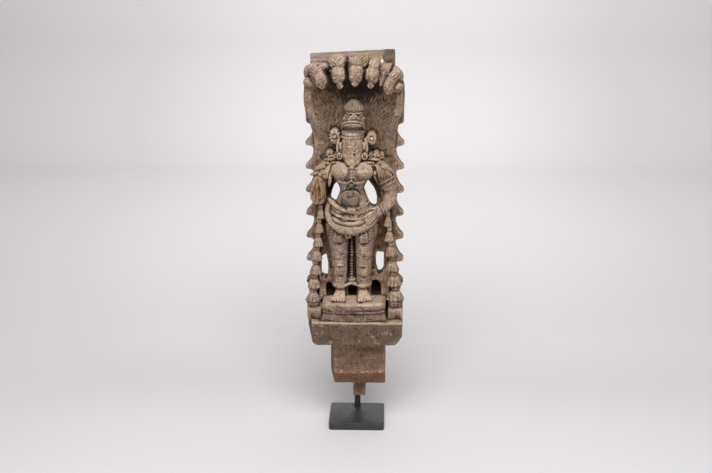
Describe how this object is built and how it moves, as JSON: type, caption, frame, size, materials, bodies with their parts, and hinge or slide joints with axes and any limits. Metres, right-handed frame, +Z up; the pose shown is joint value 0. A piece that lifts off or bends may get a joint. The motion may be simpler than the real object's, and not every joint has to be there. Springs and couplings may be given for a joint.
{
  "type": "carved wooden figure panel",
  "caption": "Tall wooden relief of a standing crowned figure under a canopy of cobra hoods, on its plinth, held up by a black steel rod and plate.",
  "frame": {"origin": "middle of the stand plate's underside", "axes": "+Z up along the figure's height, -Y towards the front that the figure faces, +X to the viewer's right"},
  "size_m": [0.16, 0.0982, 0.6091],
  "materials": {
    "wood": "weathered, dry, with pale dust in the hollows",
    "stand": "satin black"
  },
  "bodies": {
    "root": {"carved_panel": "wood", "stand_rod": "stand", "stand_plate": "stand"}
  },
  "joints": []
}
